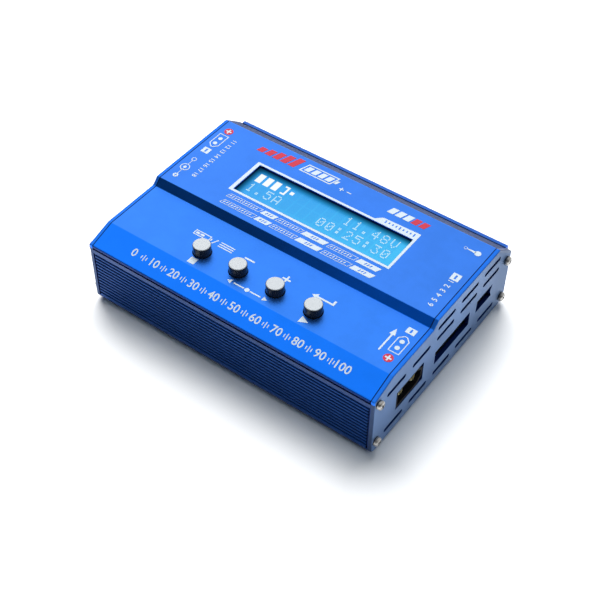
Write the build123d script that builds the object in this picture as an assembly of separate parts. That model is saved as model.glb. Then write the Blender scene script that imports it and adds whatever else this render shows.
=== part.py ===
from build123d import *
import os

# Balance battery charger for radio-control models. An extruded aluminium tray and a stepped cover
# that hooks into it are closed by two slotted end plates, each held by four screws. Inside are a
# power board with its sockets, a button board and a two-line display module.
# Millimetres: +X right, -Y front, +Z up. Heights are from the underside of the tray, and write()
# lifts every piece by the height of the feet.

# Case
WIDTH = 115.0               # over the end plates
DEPTH = 84.0                # front wall to rear wall
CASE_HEIGHT = 31.0          # underside of the tray to the display deck
STEP_HEIGHT = 2.4           # display deck above the button deck
PLATE = 1.5                 # end plate thickness
WALL = 1.8                  # tray walls
FLOOR = 1.5                 # tray floor
COVER = 1.2                 # cover thickness
CORNER = 2.0                # radius of the tray's long bottom edges
EDGE = 0.5                  # radius of the cover's long edges
PLATE_EDGE = 0.3            # chamfer round an end plate
SEAM = 0.15                 # gap between the cover and an end plate
RAIL_GAP = 0.6              # gap between the cover and the tray's rear rail
FRONT_WALL_TOP = 23.7       # top of the tray's front wall
COVER_LIP = 24.5            # lower edge of the cover's front lip
REAR_RAIL_TOP = 25.2        # top of the tray's rear rail

# Cover profile, front to rear
FRONT_RUN = 10.0            # depth of the sloping front edge
FRONT_DROP = 3.1            # fall of the sloping front edge
STEP_FROM_FRONT = 33.0      # foot of the step
STEP_RUN = 2.6              # depth of the sloping step face
REAR_RUN = 9.7              # rear slope, from its top edge to the rear wall
REAR_SLOPE = 0.76           # fall of the rear slope per unit of depth
REAR_CORNER = 1.9           # chamfer at the end plates' upper rear corner

# Ribs on the tray's long walls
RIB_PITCH = 1.5
RIB_TOP = 22.2              # the wall above is smooth
GROOVE_DEPTH = 0.45
GROOVE_MOUTH = 1.0
GROOVE_ROOT = 0.5
END_RELIEF = 0.6            # ribs stop this far from the end plates

# End plate screws and the channels they run in
SCREW_R = 1.0
SCREW_FIT = 0.05            # radial clearance of a screw in its channel
SCREW_HOLE = 0.2            # radial clearance of a screw in an end plate
SCREW_LENGTH = 8.0
HEAD_R = 1.65
HEAD_HEIGHT = 1.5
CHANNEL_WALL = 1.0
CHANNEL_SLIT = 1.2
CHANNEL_MOUTH = 0.9         # front wall top above the upper front channel's centre
FRONT_SCREW_INSET = 2.4
REAR_SCREW_INSET = 3.0
REAR_SCREW_TOP = 21.0
FRONT_SCREW_LOW = 4.6
REAR_SCREW_LOW = 3.5

# Hooks that tie the cover to the upper screw channels
HOOK_GAP = 0.2
HOOK_REACH = 1.4
HOOK = 1.0

# Slots in the end plates
SLOT_LENGTH = 10.6
SLOT_WIDTH = 1.7
SLOT_PITCH = 14.5
SLOT_COUNT = 5
SLOT_REAR_INSET = 13.7      # rear wall to the centre of the rearmost slot
SLOT_LOW = 4.5
SLOT_MIDDLE = 21.5
SLOT_FRONT = 22.0
SLOT_TOP = 26.5

# Feet
FOOT_HEIGHT = 1.0
FOOT_R = 4.0
FOOT_INSET_X = 14.5
FOOT_INSET_Y = 10.5

# Power board and its standoffs
BOARD = 1.6
BOARD_TOP = 9.2
BOARD_SIDE_GAP = 0.7
BOARD_END_GAP = 5.0
STANDOFF_R = 2.5
SPIGOT_R = 1.6
STANDOFF_INSET_X = 7.5
STANDOFF_INSET_Y = 9.0
BOARD_SCREW_R = 1.1
BOARD_SCREW_LENGTH = 5.0
BOARD_HEAD_R = 2.2
BOARD_HEAD_HEIGHT = 1.3
HOLE_GAP = 0.2              # radial clearance of a screw in a board

# Two-pin power sockets
POWER_WIDTH = 15.6
POWER_HEIGHT = 8.0
POWER_CHAMFER_Y = 3.3
POWER_CHAMFER_Z = 2.0
POWER_WALL = 1.0
POWER_DEPTH = 8.5
POWER_LENGTH = 13.5
POWER_PIN_R = 1.75
POWER_PIN_PITCH = 7.2
POWER_SHANK_R = 1.4         # pin inside the housing
POWER_TAIL_R = 1.0
POWER_PIN_RECESS = 1.0
POWER_SPLIT = 0.5
POWER_SPLIT_DEPTH = 3.0     # from the tip of a pin
POWER_RECESS = 0.2          # mouth behind the plate's outer face
OPENING_GAP = 0.15          # all-round gap between a socket and its opening
PIN_GAP = 0.03              # clearance of a pin in its housing
OUTPUT_FROM_FRONT = 21.0
INPUT_FROM_REAR = 21.0

# Balance and sensor sockets
PIN = 0.64
PIN_PITCH = 2.5
SOCKET_WALL = 0.9
SOCKET_DEPTH = 7.5
SOCKET_LENGTH = 11.5
SOCKET_RECESS = 0.2         # mouth behind the plate's inner face
SOCKET_PIN_RECESS = 2.6
SOCKET_END = 2.45           # from the last pin to the end of the housing
BALANCE_PINS = 7
BALANCE_TOP = 15.3
BALANCE_OPENING = 21.8
BALANCE_FROM_REAR = 37.0
SENSOR_PINS = 3
SENSOR_TOP = 16.4
SENSOR_BASE = 11.0
SENSOR_OPENING = 10.3
SENSOR_NOTCH = 1.1
SENSOR_FROM_REAR = 16.5

# Barrel power jack
JACK_WIDTH = 9.0
JACK_HEIGHT = 11.0
JACK_LENGTH = 14.0
JACK_AXIS = 6.5             # above the board
JACK_BORE_R = 3.1
JACK_DEPTH = 9.5
JACK_PIN_R = 1.05
JACK_PIN_RECESS = 0.8
JACK_SHANK_R = 0.8          # pin inside the body
JACK_TAIL = 0.8
JACK_FROM_REAR = 39.1
JACK_OPENING_R = 4.0

# Buttons
BUTTON_COUNT = 4
BUTTON_PITCH = 15.0
BUTTON_FROM_FRONT = 17.3
BUTTON_R = 3.1
BUTTON_PROUD = 3.5
BUTTON_FLANGE_R = 4.0
BUTTON_FLANGE = 0.75
BUTTON_CHAMFER = 0.3
BUTTON_GAP = 0.25           # radial clearance in the cover
BUTTON_REST_GAP = 0.15      # flange below the cover
SWITCH = 6.0
SWITCH_HEIGHT = 3.5
PLUNGER_R = 1.75
PLUNGER_PROUD = 0.8
PLUNGER_SUNK = 0.7
PLUNGER_GAP = 0.1
PLUNGER_ROOM = 0.5          # below the plunger, more than its travel

# Button board
KEY_BOARD_WIDTH = 78.0
KEY_BOARD_FRONT = 7.5       # from the front wall
KEY_BOARD_REAR = 28.0
KEY_SPACER_X = 35.5
KEY_SPACER_INSET = 3.0
SPACER_R = 2.2

# Display module
WINDOW_WIDTH = 63.6
WINDOW_DEPTH = 15.3
WINDOW_CORNER = 0.6
DISPLAY_FROM_REAR = 30.3
GLASS_SUNK = 2.0            # below the display deck
GLASS = 2.2
BEZEL = 0.5
BEZEL_WIDTH = 71.2
BEZEL_DEPTH = 25.2
BEZEL_LIP = 0.8             # bezel opening beyond the cover's window, all round
STACK_GAP = 0.1
LCD_HEIGHT = 6.2            # display board to the top of the glass
LCD_BOARD_WIDTH = 80.0
LCD_BOARD_DEPTH = 36.0
LCD_HOLE_X = 37.5
LCD_HOLE_Y = 15.5
LCD_PINS = 16
HEADER_PITCH = 2.54

# Power parts
PAD = 0.5
PAD_DEPTH = 17.0
TRANSISTOR_COUNT = 6
TRANSISTOR_PITCH = 13.0
TRANSISTOR_WIDTH = 10.0
TRANSISTOR_TAB = 1.3
TRANSISTOR_BODY = 4.4
TRANSISTOR_LENGTH = 15.5
BODY_LENGTH = 9.2
INDUCTOR_SIZE = 18.0
INDUCTOR_HEIGHT = 9.8
INDUCTOR_FLANGE = 1.6
INDUCTOR_CORE_R = 4.0
WINDING_R = 8.2
INDUCTOR_PLACES = [(-18, -4), (4, -4)]
CAPACITOR_R = 4.0
CAPACITOR_HEIGHT = 9.5
CAPACITOR_FILLET = 0.6
CAPACITOR_GROOVE = 0.3
CAPACITOR_PLACES = [(x, y) for y in (11, 20) for x in (-26, -16.5, -7, 2.5)]
LEAD = 2.54                 # transistor lead pitch
LEAD_REACH = 3.0
TAB_HOLE_R = 1.8
TAB_HOLE_INSET = 3.0

# Small parts on the power board
CHIP_HEIGHT = 1.4
CHIP_LEAD = 0.4
CHIP_LEAD_REACH = 0.9
CONTROLLER = (-24, -27, 10, 8)    # place, size and leads a side
REGULATOR = (12, 16, 7, 6)
RESISTOR = (3.2, 3.0, 0.7)
RESISTOR_PITCH = 3.6
RESISTOR_GAP = 11.0         # behind the balance socket
SHUNT = (3.0, 12.0, 4.0)
SHUNT_STRIP = 0.8
SHUNT_GAP = 12.0            # behind the output socket
BUZZER_R = 4.5
BUZZER_HEIGHT = 5.5
BUZZER_HOLE_R = 0.9
BUZZER_PLACE = (-45, -10)
FUSE = (2.8, 10.0, 2.6)
FUSE_GAP = 10.4             # behind the input socket
HEADER_HEIGHT = 8.5
KEY_HEADER_PINS = 8
KEY_HEADER_INSET = 3.0
LCD_HEADER_X = -8.0

# Lines that several pieces share
FRONT = -DEPTH / 2
REAR = DEPTH / 2
INNER_X = WIDTH / 2 - PLATE
DISPLAY_DECK = CASE_HEIGHT
BUTTON_DECK = CASE_HEIGHT - STEP_HEIGHT
CHANNEL_R = SCREW_R + SCREW_FIT
CHANNEL_OUTER = CHANNEL_R + CHANNEL_WALL
FRONT_SCREW_Y = FRONT + FRONT_SCREW_INSET
REAR_SCREW_Y = REAR - REAR_SCREW_INSET
SCREW_SPOTS = [
    (FRONT_SCREW_Y, FRONT_WALL_TOP - CHANNEL_MOUTH),
    (FRONT_SCREW_Y, FRONT_SCREW_LOW),
    (REAR_SCREW_Y, REAR_SCREW_TOP),
    (REAR_SCREW_Y, REAR_SCREW_LOW),
]
BOARD_BOTTOM = BOARD_TOP - BOARD
BOARD_X = INNER_X - BOARD_SIDE_GAP
BOARD_Y = DEPTH / 2 - BOARD_END_GAP
STANDOFF_X = WIDTH / 2 - STANDOFF_INSET_X
STANDOFF_Y = DEPTH / 2 - STANDOFF_INSET_Y
POWER_Z = BOARD_TOP + POWER_HEIGHT / 2
POWER_MOUTH = WIDTH / 2 - POWER_RECESS
SOCKET_MOUTH = INNER_X - SOCKET_RECESS
BALANCE_Y = REAR - BALANCE_FROM_REAR
SENSOR_Y = REAR - SENSOR_FROM_REAR
INPUT_Y = REAR - INPUT_FROM_REAR
OUTPUT_Y = FRONT + OUTPUT_FROM_FRONT
JACK_Y = REAR - JACK_FROM_REAR
BUTTON_Y = FRONT + BUTTON_FROM_FRONT
COVER_REAR = REAR - WALL - RAIL_GAP
DISPLAY_Y = REAR - DISPLAY_FROM_REAR
GLASS_TOP = DISPLAY_DECK - GLASS_SUNK
LCD_BOARD_TOP = GLASS_TOP - LCD_HEIGHT
LCD_BOARD_BOTTOM = LCD_BOARD_TOP - BOARD
FLANGE_TOP = BUTTON_DECK - COVER - BUTTON_REST_GAP
PLUNGER_TOP = FLANGE_TOP - BUTTON_FLANGE
SWITCH_TOP = PLUNGER_TOP - PLUNGER_PROUD
KEY_BOARD_TOP = SWITCH_TOP - SWITCH_HEIGHT
KEY_BOARD_BOTTOM = KEY_BOARD_TOP - BOARD
BUTTONS = ["stop", "minus", "plus", "start"]


def block(x0, x1, y0, y1, z0, z1):
    """Box between two opposite corners."""
    middle = Pos((x0 + x1) / 2, (y0 + y1) / 2, (z0 + z1) / 2)
    return middle * Box(x1 - x0, y1 - y0, z1 - z0)


def post(x, y, z0, z1, radius):
    """Upright round bar."""
    return Pos(x, y, (z0 + z1) / 2) * Cylinder(radius, z1 - z0)


def rod_x(x0, x1, y, z, radius):
    """Round bar along X."""
    return Pos((x0 + x1) / 2, y, z) * Rot(0, 90, 0) * Cylinder(radius, x1 - x0)


def rectangle(y0, y1, z0, z1):
    """Rectangle of a (y, z) section."""
    return Pos((y0 + y1) / 2, (z0 + z1) / 2) * Rectangle(y1 - y0, z1 - z0)


def polygon(points):
    """Closed area of a (y, z) section."""
    return make_face(Polyline(*points, close=True))


def along_x(section, x0, x1):
    """Solid with a (y, z) section from x0 to x1."""
    return Pos(x0, 0, 0) * extrude(Plane.YZ * section, amount=x1 - x0)


def four_corners(x, y):
    """Places at the corners of a centred rectangle."""
    return [(sx * x, sy * y) for sx in (-1, 1) for sy in (-1, 1)]


def spread(count, pitch):
    """Evenly spaced values about zero."""
    return [(i - (count - 1) / 2) * pitch for i in range(count)]


def write(name, pieces):
    """Write one node, with every solid lifted onto the feet."""
    solids = [solid for piece in pieces for solid in (Pos(0, 0, FOOT_HEIGHT) * piece).solids()]
    export_step(Compound(solids), f"parts/{name}.step")


def pan_screw(radius, length, head_r, head_height):
    """Cross-recess pan-head screw: head above the origin, shank below it."""
    head = Pos(0, 0, head_height / 2) * Cylinder(head_r, head_height)
    head = fillet(head.edges().group_by(Axis.Z)[-1], head_height * 0.55)
    shank = Pos(0, 0, -length / 2) * Cylinder(radius, length)
    shank = chamfer(shank.edges().group_by(Axis.Z)[0], radius * 0.4)
    arm = Box(head_r * 1.2, head_r * 0.26, head_height * 1.2)
    recess = Pos(0, 0, head_height) * (arm + Rot(0, 0, 90) * arm)
    return head + shank - recess


def deck_line():
    """Outer line of the cover and the plates from the front edge to the rear rail, as (y, z)."""
    rail_y = REAR - WALL
    return [
        (FRONT, BUTTON_DECK - FRONT_DROP),
        (FRONT + FRONT_RUN, BUTTON_DECK),
        (FRONT + STEP_FROM_FRONT, BUTTON_DECK),
        (FRONT + STEP_FROM_FRONT + STEP_RUN, DISPLAY_DECK),
        (REAR - REAR_RUN, DISPLAY_DECK),
        (rail_y, rear_slope(rail_y)),
    ]


def rear_slope(y):
    """Height of the rear slope at a depth."""
    return DISPLAY_DECK - REAR_SLOPE * (y - (REAR - REAR_RUN))


def groove(face, inward, z):
    """Section of one groove in a long wall."""
    root = face + inward * GROOVE_DEPTH
    out = face - inward * GROOVE_DEPTH
    half = GROOVE_MOUTH / 2
    foot = GROOVE_ROOT / 2
    return polygon([(out, z - half), (face, z - half), (root, z - foot),
                    (root, z + foot), (face, z + half), (out, z + half)])


def tray_section():
    """Tray: floor, two ribbed walls and four open screw channels."""
    section = rectangle(FRONT, REAR, 0, REAR_RAIL_TOP)
    section = fillet(section.vertices().group_by(Axis.Y)[0], CORNER)
    rail = section.vertices().group_by(Axis.Y)[-1].sort_by(Axis.X)[-1]
    section = fillet(rail, WALL * 0.45)
    section -= rectangle(FRONT + WALL, REAR - WALL, FLOOR, CASE_HEIGHT)
    section -= rectangle(FRONT - 1, FRONT + WALL, FRONT_WALL_TOP, CASE_HEIGHT)
    web = CHANNEL_WALL
    for y, z in SCREW_SPOTS:
        wall = REAR - WALL / 2 if y > 0 else FRONT + WALL / 2
        section += Pos(y, z) * Circle(CHANNEL_OUTER)
        section += rectangle(min(y, wall), max(y, wall), z - web, z + web)
    section -= rectangle(FRONT, FRONT + 3 * CHANNEL_OUTER, FRONT_WALL_TOP, CASE_HEIGHT)
    for y, z in SCREW_SPOTS:
        section -= Pos(y, z) * Circle(CHANNEL_R)
    slit = CHANNEL_SLIT / 2
    for y, z in SCREW_SPOTS[1:]:
        inner = y - 2 * CHANNEL_OUTER if y > 0 else y + 2 * CHANNEL_OUTER
        section -= rectangle(min(y, inner), max(y, inner), z - slit, z + slit)
    ribs = int((RIB_TOP - CORNER) / RIB_PITCH)
    for i in range(ribs):
        z = RIB_TOP - (i + 0.5) * RIB_PITCH
        section -= groove(FRONT, 1, z)
        section -= groove(REAR, -1, z)
    return section


def lower_case():
    """Extruded tray, its ribs stopped short of the end plates, with holes for the standoffs."""
    tray = along_x(tray_section(), -INNER_X, INNER_X)
    for side in (-1, 1):
        for face in (FRONT, REAR):
            x = side * (INNER_X - END_RELIEF / 2)
            tray -= block(x - END_RELIEF / 2, x + END_RELIEF / 2, face - GROOVE_DEPTH,
                          face + GROOVE_DEPTH, CORNER, RIB_TOP)
    for x, y in four_corners(STANDOFF_X, STANDOFF_Y):
        tray -= post(x, y, -1, FLOOR + 1, SPIGOT_R)
    return tray


def front_slope(y):
    """Height of the sloping front edge at a depth."""
    return BUTTON_DECK - FRONT_DROP * (1 - (y - FRONT) / FRONT_RUN)


def hook_legs():
    """Two L-shaped legs under the cover, each hooked below one upper screw channel."""
    legs = []
    for (y, z), side, slope in ((SCREW_SPOTS[0], 1, front_slope), (SCREW_SPOTS[2], -1, rear_slope)):
        near = y + side * (CHANNEL_OUTER + HOOK_GAP)
        far = near + side * HOOK
        tip = near - side * HOOK_REACH
        top = z - CHANNEL_OUTER - HOOK_GAP
        legs.append(polygon([(near, slope(near) - COVER / 2), (far, slope(far) - COVER / 2),
                             (far, top - HOOK), (tip, top - HOOK), (tip, top), (near, top)]))
    return legs


def cover_section():
    """Cover: a folded sheet profile with a front lip, a rear lip and the two hook legs."""
    rear_end = (COVER_REAR, rear_slope(COVER_REAR))
    low = COVER_LIP - 4 * COVER
    points = [(FRONT, low)] + deck_line()[:-1] + [rear_end, (COVER_REAR, low)]
    outline = polygon(points)
    hollow = offset(outline, -COVER, kind=Kind.INTERSECTION)
    corners = outline.vertices().filter_by(lambda corner: corner.Y > COVER_LIP)
    outline = fillet(corners, EDGE)
    section = outline - hollow
    rear_lip = REAR_SCREW_TOP + CHANNEL_OUTER + HOOK_GAP / 2
    section -= rectangle(FRONT - 1, 0, low - 1, COVER_LIP)
    section -= rectangle(0, REAR, low - 1, rear_lip)
    for leg in hook_legs():
        section += leg
    return section


def top_cover():
    """Stepped cover with the display window and four button holes."""
    reach = INNER_X - SEAM
    cover = along_x(cover_section(), -reach, reach)
    window = RectangleRounded(WINDOW_WIDTH, WINDOW_DEPTH, WINDOW_CORNER)
    opening = Pos(0, DISPLAY_Y, DISPLAY_DECK - 2 * COVER) * extrude(window, amount=3 * COVER)
    cover -= opening
    for x in spread(BUTTON_COUNT, BUTTON_PITCH):
        cover -= post(x, BUTTON_Y, BUTTON_DECK - 2 * COVER, DISPLAY_DECK, BUTTON_R + BUTTON_GAP)
    return cover


def power_outline(y, minus):
    """Mouth of a two-pin power socket, chamfered on its negative side (minus is 1 or -1)."""
    half_y = POWER_WIDTH / 2
    half_z = POWER_HEIGHT / 2
    square_end = y - minus * half_y
    cut_end = y + minus * half_y
    cut_start = cut_end - minus * POWER_CHAMFER_Y
    cut_z = half_z - POWER_CHAMFER_Z
    return polygon([(square_end, POWER_Z - half_z), (cut_start, POWER_Z - half_z),
                    (cut_end, POWER_Z - cut_z), (cut_end, POWER_Z + cut_z),
                    (cut_start, POWER_Z + half_z), (square_end, POWER_Z + half_z)])


def power_opening(y):
    """Rectangular opening in an end plate round a power socket."""
    half_y = POWER_WIDTH / 2 + OPENING_GAP
    half_z = POWER_HEIGHT / 2 + OPENING_GAP
    return rectangle(y - half_y, y + half_y, POWER_Z - half_z, POWER_Z + half_z)


def slot_openings():
    """Ventilation slots: two upper rows beside the display deck, one in front, one at the foot."""
    openings = Sketch()
    for i in range(SLOT_COUNT):
        y = REAR - SLOT_REAR_INSET - i * SLOT_PITCH
        fits_top = y - SLOT_LENGTH / 2 > FRONT + STEP_FROM_FRONT
        heights = [SLOT_LOW, SLOT_MIDDLE, SLOT_TOP] if fits_top else [SLOT_LOW, SLOT_FRONT]
        for z in heights:
            openings += Pos(y, z) * SlotOverall(SLOT_LENGTH, SLOT_WIDTH)
    return openings


def end_plate(openings):
    """Right end plate with its slots, screw holes and the given socket openings."""
    points = [(FRONT, 0)] + deck_line() + [(REAR, rear_slope(REAR - WALL) - REAR_CORNER), (REAR, 0)]
    outline = polygon(points)
    outline = fillet(outline.vertices().group_by(Axis.Y)[0], CORNER)
    upper = outline.vertices().filter_by(lambda corner: corner.Y > FRONT_WALL_TOP)
    outline = fillet(upper, EDGE)
    plate = along_x(outline, INNER_X, INNER_X + PLATE)
    plate = chamfer(plate.faces().sort_by(Axis.X)[-1].edges(), PLATE_EDGE)
    holes = openings + slot_openings()
    for y, z in SCREW_SPOTS:
        holes += Pos(y, z) * Circle(SCREW_R + SCREW_HOLE)
    return plate - along_x(holes, INNER_X - 1, INNER_X + PLATE + 1)


def right_openings():
    """Openings for the output, balance and sensor sockets."""
    half = BALANCE_OPENING / 2
    openings = power_opening(OUTPUT_Y)
    openings += rectangle(BALANCE_Y - half, BALANCE_Y + half, BOARD_TOP, BALANCE_TOP)
    near = SENSOR_Y - SENSOR_OPENING / 2
    far = SENSOR_Y + SENSOR_OPENING / 2
    middle = (SENSOR_BASE + SENSOR_TOP) / 2
    openings += polygon([(near, SENSOR_BASE), (far, SENSOR_BASE), (far - SENSOR_NOTCH, middle),
                         (far, SENSOR_TOP), (near, SENSOR_TOP)])
    return openings


def left_openings():
    """Openings for the input socket and the barrel jack."""
    return power_opening(INPUT_Y) + Pos(JACK_Y, BOARD_TOP + JACK_AXIS) * Circle(JACK_OPENING_R)


def plate_screws():
    """Four screws through the right end plate, their recesses turned at random-looking angles."""
    screw = pan_screw(SCREW_R, SCREW_LENGTH, HEAD_R, HEAD_HEIGHT)
    screws = []
    for i, (y, z) in enumerate(SCREW_SPOTS):
        screws.append(Pos(WIDTH / 2, y, z) * Rot(0, 90, 0) * Rot(0, 0, 20 + 37 * i) * screw)
    return screws


def feet():
    """Four round rubber feet under the tray."""
    x = WIDTH / 2 - FOOT_INSET_X
    y = DEPTH / 2 - FOOT_INSET_Y
    foot = Pos(0, 0, -FOOT_HEIGHT / 2) * Cylinder(FOOT_R, FOOT_HEIGHT)
    foot = chamfer(foot.edges().group_by(Axis.Z)[0], FOOT_HEIGHT * 0.3)
    return [Pos(cx, cy, 0) * foot for cx, cy in four_corners(x, y)]


def main_board():
    """Power board, drilled for its screws."""
    board = block(-BOARD_X, BOARD_X, -BOARD_Y, BOARD_Y, BOARD_BOTTOM, BOARD_TOP)
    for x, y in four_corners(STANDOFF_X, STANDOFF_Y):
        board -= post(x, y, BOARD_BOTTOM, BOARD_TOP, BOARD_SCREW_R + HOLE_GAP)
    return board


def standoffs():
    """Brass standoffs, each with a spigot through the tray floor and a tapped bore."""
    pieces = []
    for x, y in four_corners(STANDOFF_X, STANDOFF_Y):
        body = Pos(x, y, FLOOR) * extrude(RegularPolygon(STANDOFF_R, 6), amount=BOARD_BOTTOM - FLOOR)
        spigot = post(x, y, 0, FLOOR, SPIGOT_R - PIN_GAP)
        bore = post(x, y, BOARD_BOTTOM - BOARD_SCREW_LENGTH, BOARD_BOTTOM, BOARD_SCREW_R + SCREW_FIT)
        pieces.append(body + spigot - bore)
    return pieces


def board_screws(places, top):
    """Screws standing in board holes."""
    screw = pan_screw(BOARD_SCREW_R, BOARD_SCREW_LENGTH, BOARD_HEAD_R, BOARD_HEAD_HEIGHT)
    return [Pos(x, y, top) * screw for x, y in places]


def spacers(places, top):
    """Round nylon spacers between the power board and a board above it, bored for screws."""
    pieces = []
    for x, y in places:
        bore = post(x, y, top - BOARD_SCREW_LENGTH, top, BOARD_SCREW_R + SCREW_FIT)
        pieces.append(post(x, y, BOARD_TOP, top, SPACER_R) - bore)
    return pieces


def power_socket(y):
    """Right-hand two-pin power socket: shrouded housing and its two split pins."""
    back = POWER_MOUTH - POWER_LENGTH
    floor = POWER_MOUTH - POWER_DEPTH
    outline = power_outline(y, 1)
    cavity = offset(outline, -POWER_WALL, kind=Kind.INTERSECTION)
    housing = along_x(outline, back, POWER_MOUTH) - along_x(cavity, floor, POWER_MOUTH + 1)
    tip = POWER_MOUTH - POWER_PIN_RECESS
    pins = []
    for offset_y in spread(2, POWER_PIN_PITCH):
        pin_y = y + offset_y
        housing -= rod_x(back - 1, floor + 1, pin_y, POWER_Z, POWER_SHANK_R + PIN_GAP)
        pin = rod_x(floor, tip, pin_y, POWER_Z, POWER_PIN_R)
        pin = chamfer(pin.edges().group_by(Axis.X)[-1], POWER_PIN_R * 0.25)
        cut = POWER_SPLIT / 2
        span = 2 * POWER_PIN_R
        root = tip - POWER_SPLIT_DEPTH
        pin -= block(root, tip + 1, pin_y - cut, pin_y + cut, POWER_Z - span, POWER_Z + span)
        pin -= block(root, tip + 1, pin_y - span, pin_y + span, POWER_Z - cut, POWER_Z + cut)
        pin += rod_x(back - 2 * POWER_TAIL_R, floor, pin_y, POWER_Z, POWER_SHANK_R)
        pin += post(back - POWER_TAIL_R, pin_y, BOARD_TOP, POWER_Z, POWER_TAIL_R)
        pins.append(pin)
    return housing, pins


def pin_socket(y, count, base, top):
    """Single-row side-entry socket: housing on the board and its square pins."""
    half = (count - 1) * PIN_PITCH / 2 + SOCKET_END
    back = SOCKET_MOUTH - SOCKET_LENGTH
    floor = SOCKET_MOUTH - SOCKET_DEPTH
    middle = (base + top) / 2
    wall = SOCKET_WALL
    housing = block(back, SOCKET_MOUTH, y - half, y + half, BOARD_TOP, top)
    housing -= block(floor, SOCKET_MOUTH + 1, y - half + wall, y + half - wall, base + wall, top - wall)
    tip = SOCKET_MOUTH - SOCKET_PIN_RECESS
    tail = back - 1.5
    hole = PIN / 2 + PIN_GAP
    pins = []
    for offset_y in spread(count, PIN_PITCH):
        pin_y = y + offset_y
        low = pin_y - PIN / 2
        high = pin_y + PIN / 2
        housing -= block(back - 1, floor + 1, pin_y - hole, pin_y + hole, middle - hole, middle + hole)
        pin = block(tail, tip, low, high, middle - PIN / 2, middle + PIN / 2)
        pin += block(tail, tail + PIN, low, high, BOARD_TOP, middle)
        pins.append(pin)
    return housing, pins


def barrel_jack(y):
    """Right-hand barrel jack: moulded body and centre pin."""
    mouth = INNER_X - SOCKET_RECESS
    back = mouth - JACK_LENGTH
    axis = BOARD_TOP + JACK_AXIS
    half = JACK_WIDTH / 2
    body = block(back, mouth, y - half, y + half, BOARD_TOP, BOARD_TOP + JACK_HEIGHT)
    body -= rod_x(mouth - JACK_DEPTH, mouth + 1, y, axis, JACK_BORE_R)
    body -= rod_x(back - 1, mouth, y, axis, JACK_SHANK_R + PIN_GAP)
    floor = mouth - JACK_DEPTH
    pin = rod_x(floor, mouth - JACK_PIN_RECESS, y, axis, JACK_PIN_R)
    pin = fillet(pin.edges().group_by(Axis.X)[-1], JACK_PIN_R * 0.6)
    pin += rod_x(back - JACK_TAIL, floor, y, axis, JACK_SHANK_R)
    pin += block(back - JACK_TAIL, back, y - JACK_TAIL, y + JACK_TAIL, BOARD_TOP, axis)
    return body, pin


def button_cap(x):
    """Push-button cap: flat-topped round key with a flange below the cover."""
    top = BUTTON_DECK + BUTTON_PROUD
    key = post(x, BUTTON_Y, FLANGE_TOP, top, BUTTON_R)
    key = chamfer(key.edges().group_by(Axis.Z)[-1], BUTTON_CHAMFER)
    return key + post(x, BUTTON_Y, PLUNGER_TOP, FLANGE_TOP, BUTTON_FLANGE_R)


def plunger(x):
    """Moving stem of a tactile switch."""
    return post(x, BUTTON_Y, SWITCH_TOP - PLUNGER_SUNK, PLUNGER_TOP, PLUNGER_R)


def switches():
    """Bodies of the four tactile switches, with solder legs down to the board."""
    bodies = []
    for x in spread(BUTTON_COUNT, BUTTON_PITCH):
        half = SWITCH / 2
        body = block(x - half, x + half, BUTTON_Y - half, BUTTON_Y + half, KEY_BOARD_TOP, SWITCH_TOP)
        well = SWITCH_TOP - PLUNGER_SUNK - PLUNGER_ROOM
        body -= post(x, BUTTON_Y, well, SWITCH_TOP + 1, PLUNGER_R + PLUNGER_GAP)
        bodies.append(body)
    return bodies


def key_places():
    """Screw places of the button board."""
    near = FRONT + KEY_BOARD_FRONT + KEY_SPACER_INSET
    far = FRONT + KEY_BOARD_REAR - KEY_SPACER_INSET
    return [(x, y) for x in (-KEY_SPACER_X, KEY_SPACER_X) for y in (near, far)]


def key_board():
    """Board that carries the switches."""
    half = KEY_BOARD_WIDTH / 2
    board = block(-half, half, FRONT + KEY_BOARD_FRONT, FRONT + KEY_BOARD_REAR,
                  KEY_BOARD_BOTTOM, KEY_BOARD_TOP)
    for x, y in key_places():
        board -= post(x, y, KEY_BOARD_BOTTOM, KEY_BOARD_TOP, BOARD_SCREW_R + HOLE_GAP)
    return board


def pin_header(x, y, count, top):
    """Upright single-row header: plastic strip on the power board with pins up to a board above."""
    header = on_board(x, y, (count * HEADER_PITCH, HEADER_PITCH, HEADER_HEIGHT))
    for offset_x in spread(count, HEADER_PITCH):
        middle = x + offset_x
        header += block(middle - PIN / 2, middle + PIN / 2, y - PIN / 2, y + PIN / 2, BOARD_TOP, top)
    return header


def lcd_places():
    """Screw places of the display board."""
    return [(x, DISPLAY_Y + y) for x, y in four_corners(LCD_HOLE_X, LCD_HOLE_Y)]


def lcd_board():
    """Board of the display module."""
    half_x = LCD_BOARD_WIDTH / 2
    half_y = LCD_BOARD_DEPTH / 2
    board = block(-half_x, half_x, DISPLAY_Y - half_y, DISPLAY_Y + half_y,
                  LCD_BOARD_BOTTOM, LCD_BOARD_TOP)
    for x, y in lcd_places():
        board -= post(x, y, LCD_BOARD_BOTTOM, LCD_BOARD_TOP, BOARD_SCREW_R + HOLE_GAP)
    return board


def lcd_layer(inset, z0, z1):
    """Rectangular layer of the display, inset from the bezel's outside."""
    half_x = BEZEL_WIDTH / 2 - inset
    half_y = BEZEL_DEPTH / 2 - inset
    return block(-half_x, half_x, DISPLAY_Y - half_y, DISPLAY_Y + half_y, z0, z1)


def lcd_bezel():
    """Folded steel bezel that holds glass and backlight on the display board."""
    bezel = lcd_layer(0, LCD_BOARD_TOP, GLASS_TOP + BEZEL)
    bezel -= lcd_layer(BEZEL, LCD_BOARD_TOP - 1, GLASS_TOP)
    half_x = WINDOW_WIDTH / 2 + BEZEL_LIP
    half_y = WINDOW_DEPTH / 2 + BEZEL_LIP
    return bezel - block(-half_x, half_x, DISPLAY_Y - half_y, DISPLAY_Y + half_y,
                         GLASS_TOP - 1, GLASS_TOP + 1)


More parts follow.
